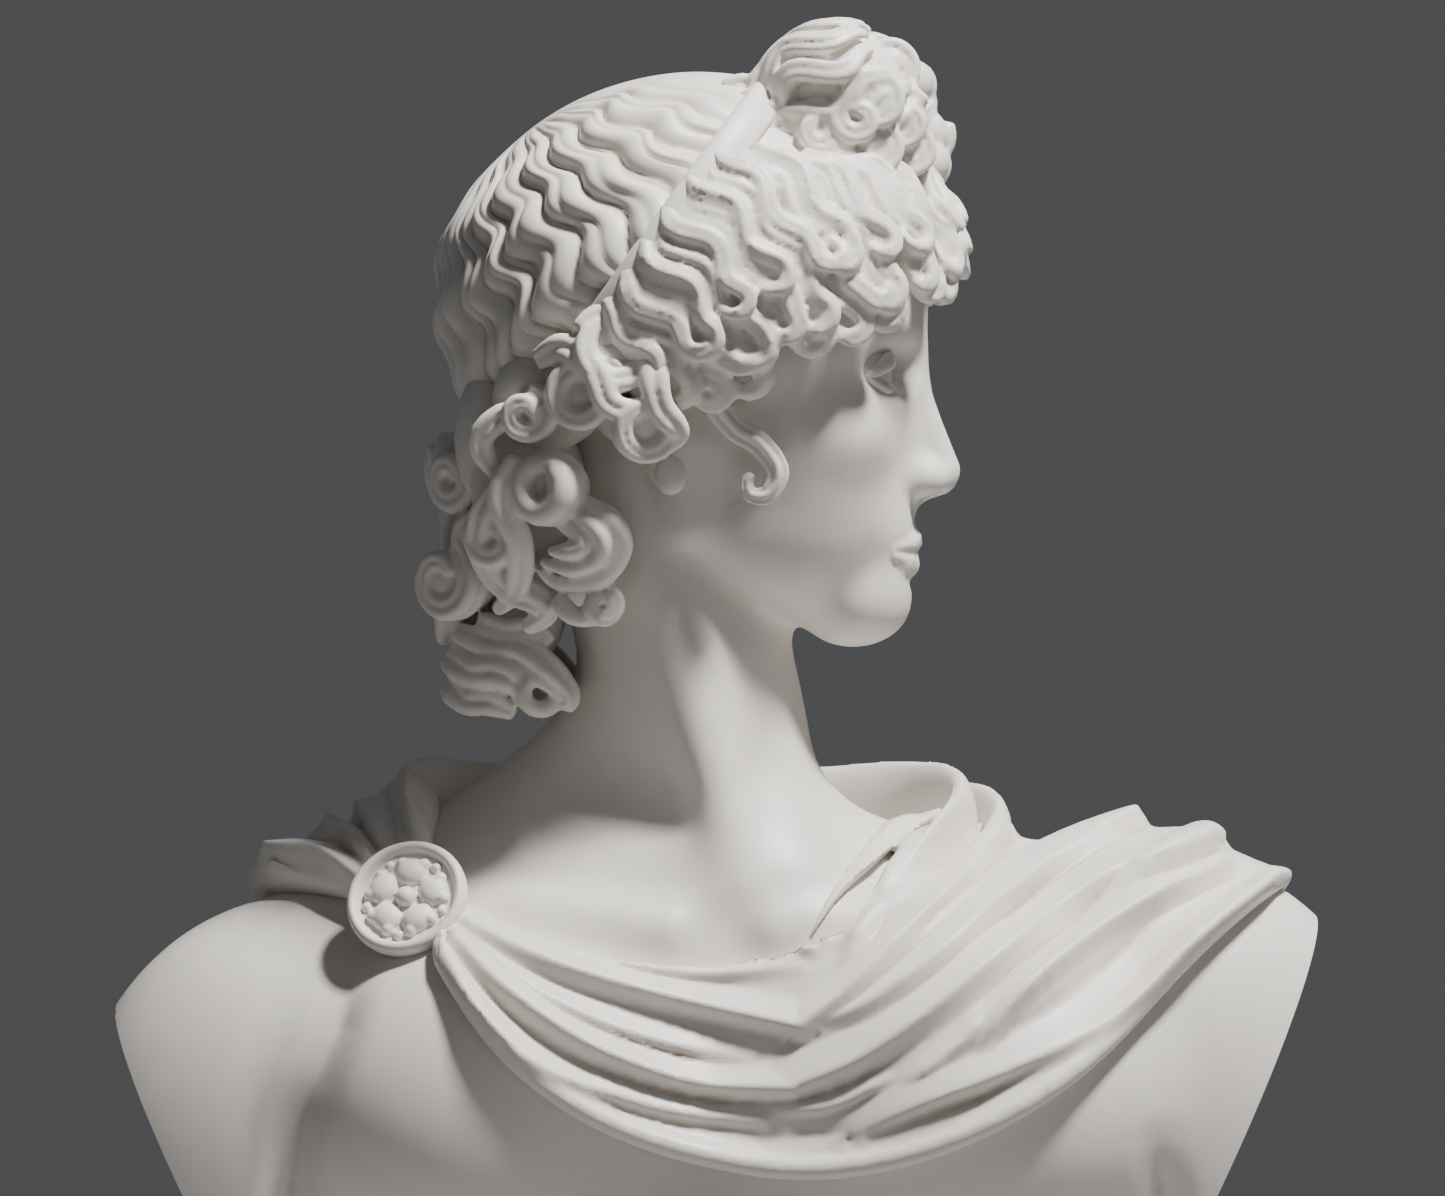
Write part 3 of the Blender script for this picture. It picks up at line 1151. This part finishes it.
def waved(start, end, wave, wavelength, phase, lifts, hook, hook_turn, side):
    """A path over the scalp from start to end that sways, lifts and ends in a hook, with its outward directions."""
    rings, hooked = 60, 18
    (t0, p0), (t1, p1) = angles_of(start), angles_of(end)
    p1 = p0 + math.remainder(p1 - p0, 2 * math.pi)
    long_t, long_p = (t1 - t0) * egg_r, (p1 - p0) * egg_r * math.sin((t0 + t1) / 2)
    total = math.hypot(long_t, long_p)
    t = np.linspace(0, 1, rings - hooked)
    swell = np.interp(t, [0, 0.2, 0.85, 1], [0.3, 1, 1, 0.6])
    sway = wave * np.sin(2 * math.pi * t * total / wavelength + phase) * swell
    along, across = t * total, sway
    a = np.radians(np.linspace(0, hook_turn, hooked + 1))[1:]
    r = hook * (1 - 0.45 * a / a[-1])
    along = np.concatenate([along, along[-1] + r * np.sin(a)])
    across = np.concatenate([across, across[-1] + side * (hook - r * np.cos(a))])
    unit_t, unit_p = long_t / total, long_p / total
    theta = t0 + (along * unit_t - across * unit_p) / egg_r
    phi = p0 + (along * unit_p + across * unit_t) / (egg_r * np.maximum(np.sin(theta), 0.25))
    share = np.linspace(0, 1, rings)
    return on_scalp(theta, phi, np.interp(share, np.linspace(0, 1, len(lifts)), lifts))


def hair_lock(bm, path, ups, width, depth, strands=3, groove=0.32, root=0.5, tip=0.35):
    t = np.linspace(0, 1, len(path))
    size = np.interp(t, [0, 0.15, 0.75, 0.97, 1], [root, 1, 0.85, tip, 0.7 * tip])
    size[0] = size[-1] = 0
    sweep(bm, path, ups, width * size, depth * size, scalloped(strands, groove))


# The locks in front of the band, which end in rolled hooks along the hairline.
roots = [(-0.19, 0.07), (-0.165, 0.12), (-0.135, 0.17), (-0.1, 0.225), (-0.062, 0.28), (-0.02, 0.335), (0.03, 0.375),
         (0.1, 0.385), (0.18, 0.375), (0.26, 0.37), (0.33, 0.37), (0.385, 0.37)]
tips = [(-0.1, 0.0), (-0.03, -0.01), (0.04, -0.012), (0.1, 0.012), (0.155, 0.068), (0.215, 0.09), (0.27, 0.092),
        (0.325, 0.118), (0.375, 0.145), (0.415, 0.17), (0.44, 0.2), (0.455, 0.235)]
bm = bmesh.new()
cap = bmesh.ops.create_icosphere(bm, subdivisions=5, radius=1)["verts"]
bmesh.ops.transform(bm, matrix=Matrix.Translation(egg_mid) @ Matrix.Diagonal((*(egg_size - 0.3 * MM), 1)), verts=cap)
trim(bm, fillet_at - 1 * MM * fillet_away, -fillet_away)
trim(bm, head(0.14, 0, 0.13), Vector((0.42, 0, -0.9)))
close_under(bm)
for side in (-1, 1):
    for layer, (shorter, lift, wide) in enumerate(((0.0, 0.0, 1.0), (0.1, 1.2, 0.85), (0.34, 1.9, 0.7))):
        for k, (root, tip) in enumerate(zip(roots, tips)):
            if layer == 1 and k == 0:
                continue
            if layer == 1:
                root = [(a + b) / 2 for a, b in zip(root, roots[k - 1])]
                tip = [(a + b) / 2 for a, b in zip(tip, tips[k - 1])]
            tip = [(1 - shorter) * a + shorter * b for a, b in zip(tip, root)]
            start, end = hair_at(*root, side), hair_at(*tip, side)
            path, ups = waved(
                start, end, 1.5 * MM, 14.5 * MM, 0.45 * k + 0.5 * layer,
                np.array([0, 1, 1.4, 1.2, 2.4, 3.2, 1.0]) * MM + lift * MM,
                hook=(2.9 + 0.6 * ((k + layer) % 2)) * MM, hook_turn=(250, 200, 280)[(k + layer) % 3],
                side=side if (k + layer) % 4 else -side,
            )
            hair_lock(bm, path, ups, 3.3 * wide * MM, 2.2 * MM, 2 + (k + layer) % 2, 0.4)
waves = object_of(bm, "front_carving")
remesh(waves, 0.63 * MM)
relax(waves, 1)
mark_hollows(waves, 5)
dress(waves, carved_marble, "front_waves", sharp=80)

# The bow of hair on the top: two lobes of wrapped locks, with small curls round them.


def lobe(side, shift):
    centre = np.array(head(0.235 + shift, side * 0.13, 0.475))
    radii = head_h * np.array([0.13, 0.105, 0.112])
    bm = bmesh.new()
    ball(bm, centre, radii * 0.93)
    tie = np.array(head(0.12 + shift, side * 0.1, 0.39))
    axis = unit(centre - tie)
    first = unit(np.cross(axis, [0, 0, 1.0]))
    second = np.cross(axis, first)
    for k in range(11):
        a0 = 2 * math.pi * k / 11 + 0.2
        t = np.linspace(0, 1, 50)
        down = 0.15 + 2.5 * t
        a = a0 + 0.3 * t + 0.16 * np.sin(2 * math.pi * t * 2.2 + 0.4 * k)
        n = -np.cos(down)[:, None] * axis + np.sin(down)[:, None] * (
            np.cos(a)[:, None] * first + np.sin(a)[:, None] * second)
        path = centre + n * (radii + 0.3 * MM + (0.8 * MM * np.sin(math.pi * t * 2.0 + k))[:, None])
        hair_lock(bm, path, n, (3.0 + 0.5 * (k % 2)) * MM, 2.1 * MM, 2 + k % 2, 0.35, 0.6, 0.5)
    out = np.array([0, side, 0.0])
    for x, z, y, r, turn_by, way in (
        (0.35, 0.42, 0.15, 0.052, 1.3, 1), (0.33, 0.51, 0.12, 0.045, 1.4, -1), (0.3, 0.37, 0.19, 0.045, 1.3, -1),
        (0.235, 0.35, 0.215, 0.046, 1.4, 1), (0.165, 0.355, 0.21, 0.044, 1.3, -1), (0.1, 0.375, 0.19, 0.044, 1.3, 1),
        (0.13, 0.48, 0.13, 0.036, 1.2, 1), (0.05, 0.36, 0.17, 0.036, 1.3, -1), (0.2, 0.4, 0.22, 0.04, 1.2, -1),
        (0.27, 0.42, 0.215, 0.042, 1.3, 1), (0.11, 0.43, 0.17, 0.04, 1.3, -1),
        (0.05, 0.4, 0.15, 0.042, 1.2, 1), (0.075, 0.455, 0.13, 0.036, 1.2, -1), (0.3, 0.45, 0.2, 0.046, 1.3, -1),
        (0.15, 0.4, 0.2, 0.048, 1.3, 1), (0.36, 0.37, 0.13, 0.044, 1.2, -1),
    ):
        at = np.array(head(x + shift, side * y, z))
        ball(bm, at - out * 2.4 * MM, (r * head_h * 0.95,) * 3)
        curl(bm, at, unit(out + np.array([0.15, 0, 0.1])), [way, 0, 0.6], r * head_h, way * turn_by,
             2.7 * MM, 2.6 * MM, 2 * MM, 0.25, 2, 0.4)
    return bm


for side, node, shift in ((-1, "topknot_near", 0.0), (1, "topknot_far", 0.045)):
    piece = object_of(lobe(side, shift), node + "_carving")
    remesh(piece, 0.5 * MM)
    relax(piece, 2)
    mark_hollows(piece, 5)
    dress(piece, carved_marble, node, sharp=80)


# The curls behind the ears, the lock at the temple and the curls on the nape.


def hanging(x, z, side, lift=0.0):
    """A place on the hair that hangs behind the ear, in head heights, raised by lift head heights."""
    y = 0.35 * math.sqrt(max(1 - ((x + 0.03) / 0.5) ** 2, 0.04)) * (1 - 0.42 * float(ease(-z, 0.1, 0.55)))
    return np.array(head(x, side * (y + lift), z))


def curls_of(side):
    out = np.array([0, side, 0.0])
    bm = bmesh.new()
    for x, y, z, size in (
        (-0.25, 0.23, -0.05, (0.1, 0.065, 0.09)), (-0.29, 0.18, -0.2, (0.1, 0.075, 0.13)),
        (-0.25, 0.16, -0.33, (0.09, 0.06, 0.1)),
        (-0.14, 0.28, 0.0, (0.08, 0.05, 0.07)), (-0.36, 0.13, -0.12, (0.06, 0.09, 0.12)),
        (-0.12, 0.275, -0.07, (0.06, 0.04, 0.06)),
    ):
        ball(bm, head(x, side * y, z), head_size(*size))

    def run(points, width, depth, strands=2, lift=0.0):
        path = [hanging(x, z, side, lift + (extra[0] if extra else 0)) for x, z, *extra in points]
        lock(bm, path, 1.35 * width * MM, 1.2 * depth * MM, out, strands, 0.35, 0.7, 0.5, 50)

    def ring(x, z, r, turns, width, depth, lift=0.0, tilt=(0, 0, 0), start=(0, 0, 1), inner=0.35, strands=2, rise=1.5):
        axis = unit(out + np.array([tilt[0], 0, tilt[2]]))
        ball(bm, hanging(x, z, side, lift) - 0.55 * r * head_h * axis, (0.95 * r * head_h,) * 3)
        curl(bm, hanging(x, z, side, lift), axis, start, r * head_h, side * turns, 1.3 * width * MM, 1.2 * depth * MM,
             rise * MM, inner, strands, 0.3)

    # The open rolls over the ear, with drilled hollows.
    ring(-0.142, 0.025, 0.062, 1.15, 2.6, 3.0, 0.01, (0.2, 0, 0.2), (-1, 0, 0.4), 0.75)
    ring(-0.19, -0.05, 0.05, -1.1, 2.3, 2.8, 0.015, (-0.2, 0, 0), (1, 0, 0.3), 0.7)
    ring(-0.09, -0.1, 0.05, 1.1, 2.2, 2.8, 0.01, (0.3, 0, -0.2), (0, 0, 1), 0.7)
    run([(-0.27, 0.01), (-0.22, 0.03, 0.02), (-0.17, -0.01, 0.04), (-0.15, -0.06, 0.04), (-0.11, -0.075, 0.03),
         (-0.05, -0.06)], 2.5, 2.4, 2)
    run([(-0.06, 0.03), (-0.07, -0.02, 0.03), (-0.06, -0.07, 0.03), (-0.03, -0.11, 0.02), (-0.045, -0.135)],
        2.6, 2.3, 2)
    # The upright spiral, its neighbour, and the round pot-shaped curl.
    ring(-0.286, -0.08, 0.042, 1.35, 2.1, 2.5, 0.01, (-0.2, 0, 0), (0, 0, 1), 0.25, 2, 2.5)
    run([(-0.3, -0.07), (-0.35, -0.1, 0.02), (-0.365, -0.135, 0.02), (-0.335, -0.19)], 2.4, 2.2, 2)
    ring(-0.25, -0.205, 0.044, 1.1, 3.0, 3.6, 0.02, (-0.75, 0, 0.1), (0, 0, 1), 0.9, 1)
    ball(bm, hanging(-0.225, -0.205, side, -0.005), head_size(0.045, 0.035, 0.05))
    # The large curl of three ridges, and the small ball that hangs under it.
    run([(-0.2, -0.225), (-0.145, -0.26, 0.01), (-0.128, -0.307, 0.01), (-0.163, -0.356, 0.01), (-0.235, -0.366),
         (-0.27, -0.34)], 2.3, 3.0, 1, 0.01)
    run([(-0.215, -0.24), (-0.165, -0.28, 0.02), (-0.165, -0.32, 0.025), (-0.21, -0.34, 0.02), (-0.265, -0.33)],
        2.0, 3.0, 1, 0.02)
    run([(-0.23, -0.26), (-0.195, -0.285, 0.02), (-0.2, -0.308, 0.03), (-0.25, -0.312, 0.02)], 1.9, 2.8, 1, 0.02)
    ring(-0.165, -0.405, 0.028, 1.3, 1.9, 2.4, 0.03, (0.2, 0, 0), (0, 0, 1), 0.15)
    run([(-0.24, -0.39), (-0.215, -0.42, 0.02), (-0.18, -0.425, 0.02), (-0.15, -0.405, 0.02)], 2.0, 2.0, 1, 0.01)
    # The loose locks behind, towards the nape.
    run([(-0.33, -0.2), (-0.36, -0.26, 0.01), (-0.36, -0.32, 0.01), (-0.325, -0.37), (-0.275, -0.395),
         (-0.258, -0.42), (-0.3, -0.45)], 3.0, 2.6, 3)
    run([(-0.3, -0.15), (-0.33, -0.22, 0.02), (-0.3, -0.3, 0.02), (-0.31, -0.38), (-0.35, -0.42)], 2.6, 2.4, 2, 0.01)
    ring(-0.34, -0.29, 0.045, -1.2, 2.3, 2.6, 0.01, (-0.5, 0, 0), (0, 0, 1), 0.3)
    return bm


def temple_of(side):
    bm = bmesh.new()
    out = np.array([0.15, side, 0.0])
    bases = [(-0.0, 0.335, 0.03), (0.02, 0.325, -0.04), (0.06, 0.315, -0.1), (0.105, 0.305, -0.13),
             (0.135, 0.298, -0.175), (0.12, 0.297, -0.215), (0.09, 0.297, -0.215), (0.085, 0.3, -0.19),
             (0.1, 0.302, -0.18)]
    points = [head(x, side * y, z) for x, y, z in bases]
    lock(bm, points, 2.9 * MM, 1.9 * MM, up=out, strands=3, root=0.9, tip=0.5, groove=0.4, rings=60)
    return bm


def nape_of():
    bm = bmesh.new()
    for x, y, z, size in (
        (-0.36, 0.0, -0.14, (0.07, 0.17, 0.1)), (-0.35, 0.0, -0.28, (0.07, 0.12, 0.12)),
        (-0.3, 0.0, -0.42, (0.07, 0.1, 0.1)),
    ):
        ball(bm, head(x, y, z), head_size(*size))
    rings = (
        (-0.415, 0.09, -0.19, 0.05, 1.3), (-0.43, 0.1, -0.365, 0.066, 1.2), (-0.42, 0.0, -0.27, 0.055, 1.4),
        (-0.44, 0.02, -0.17, 0.045, 1.3), (-0.43, 0.0, -0.42, 0.055, 1.3), (-0.37, 0.13, -0.29, 0.05, 1.3),
    )
    for side in (-1, 1):
        for x, y, z, r, turns in rings:
            if y == 0 and side > 0:
                continue
            out = unit(np.array([-0.75, side * (y * 9), 0.0]))
            at = np.array(head(x, side * y, z))
            ball(bm, at - 0.5 * r * head_h * out, (0.95 * r * head_h,) * 3)
            curl(bm, at, out, [0.2, 0, 1], r * head_h, side * turns, 3.4 * MM, 3.6 * MM, 2 * MM, 0.35, 2, 0.3)
        # The long roll at the bottom, of waved locks that sweep forward round a drilled hollow.
        ball(bm, head(-0.345, side * 0.05, -0.525), head_size(0.095, 0.07, 0.055))
        ball(bm, head(-0.26, side * 0.06, -0.56), head_size(0.045, 0.06, 0.035))
        for run, width, depth, strands in (
            (((-0.42, 0.06, -0.465), (-0.37, 0.09, -0.485), (-0.31, 0.115, -0.492), (-0.26, 0.13, -0.525),
              (-0.222, 0.13, -0.565), (-0.235, 0.12, -0.59)), 4.4, 4.2, 3),
            (((-0.435, 0.05, -0.505), (-0.39, 0.09, -0.525), (-0.345, 0.12, -0.527), (-0.31, 0.125, -0.55),
              (-0.3, 0.12, -0.585)), 4.0, 4.0, 2),
            (((-0.435, 0.05, -0.55), (-0.4, 0.08, -0.575), (-0.36, 0.1, -0.578), (-0.315, 0.105, -0.6)), 3.8, 3.6, 2),
            (((-0.38, 0.08, -0.44), (-0.33, 0.11, -0.455), (-0.285, 0.12, -0.45), (-0.25, 0.125, -0.475)), 3.2, 3.2, 2),
        ):
            lock(bm, [head(x, side * y, z) for x, y, z in run], width * MM, depth * MM, up=(0, side, 0),
                 strands=strands, groove=0.35, root=0.7, tip=0.5, rings=50)
        curl(bm, np.array(head(-0.275, side * 0.125, -0.56)), np.array([0.2, side, 0]), [0, 0, 1], 0.034 * head_h,
             side * 1.1, 2.4 * MM, 2.6 * MM, 1 * MM, 0.7, 1, 0.2)
    return bm


for node, bm in (
    ("side_curls_near", curls_of(-1)), ("side_curls_far", curls_of(1)), ("nape_curls", nape_of()),
    ("temple_lock_near", temple_of(-1)), ("temple_lock_far", temple_of(1)),
):
    piece = object_of(bm, node + "_carving")
    remesh(piece, 0.5 * MM if "temple" not in node else 0.35 * MM)
    relax(piece, 2)
    mark_hollows(piece, 5)
    dress(piece, carved_marble, node, sharp=80)
bpy.data.objects.remove(egg)

# ---- The CAD pieces that are shown as they are ----

plain_marble = marble("plain_marble", hollow=False)
steel, felt, plastic = turned_steel(), green_felt(), nylon()
for nodes, material in (
    (["socle"], plain_marble),
    (["threaded_rod", "steel_washer", "hex_nut", "neck_dowel", "brooch_dowel", "topknot_dowels"], steel),
    (["felt_pad"], felt),
    (["slip_washer"], plastic),
):
    for node in nodes:
        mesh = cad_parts[node].data
        mesh.materials.clear()
        mesh.materials.append(material)

# ---- Floor, light and camera ----

bm = bmesh.new()
bmesh.ops.create_circle(bm, cap_ends=True, segments=96, radius=0.45)
floor = object_of(bm, "floor")
paint, shader, make = start_material("pale_floor")
feed(shader, "Base Color", make.noise(6).tint((0.33, 0.33, 0.333), (0.36, 0.36, 0.363)))
feed(shader, "Roughness", make.noise(30) * 0.1 + 0.8)
floor.data.materials.append(paint)


def lamp(name, at, to, power, size, colour=(1, 1, 1)):
    light = bpy.data.lights.new(name, "AREA")
    light.energy, light.size, light.color = power, size, colour
    holder = bpy.data.objects.new(name, light)
    holder.location = at
    holder.rotation_euler = (Vector(to) - Vector(at)).to_track_quat("-Z", "Y").to_euler()
    bpy.context.scene.collection.objects.link(holder)


lamp("key_light", (0.4, -0.27, 1.2), focus, 29.0, 0.14, (1.0, 0.975, 0.94))
lamp("front_fill", (0.7, -1.1, 0.5), focus, 0.6, 0.5, (1.0, 0.99, 0.97))

world = bpy.data.worlds.new("studio")
world.use_nodes = True
world.node_tree.nodes["Background"].inputs["Color"].default_value = (0.08, 0.082, 0.086, 1)
bpy.context.scene.world = world

camera = bpy.data.objects.new("camera", bpy.data.cameras.new("camera"))
camera.data.lens, camera.data.sensor_width, camera.data.clip_start = 110, 36, 0.01
camera.location = eye
camera.rotation_euler = (focus - eye).to_track_quat("-Z", "Y").to_euler()
bpy.context.scene.collection.objects.link(camera)
bpy.context.scene.camera = camera
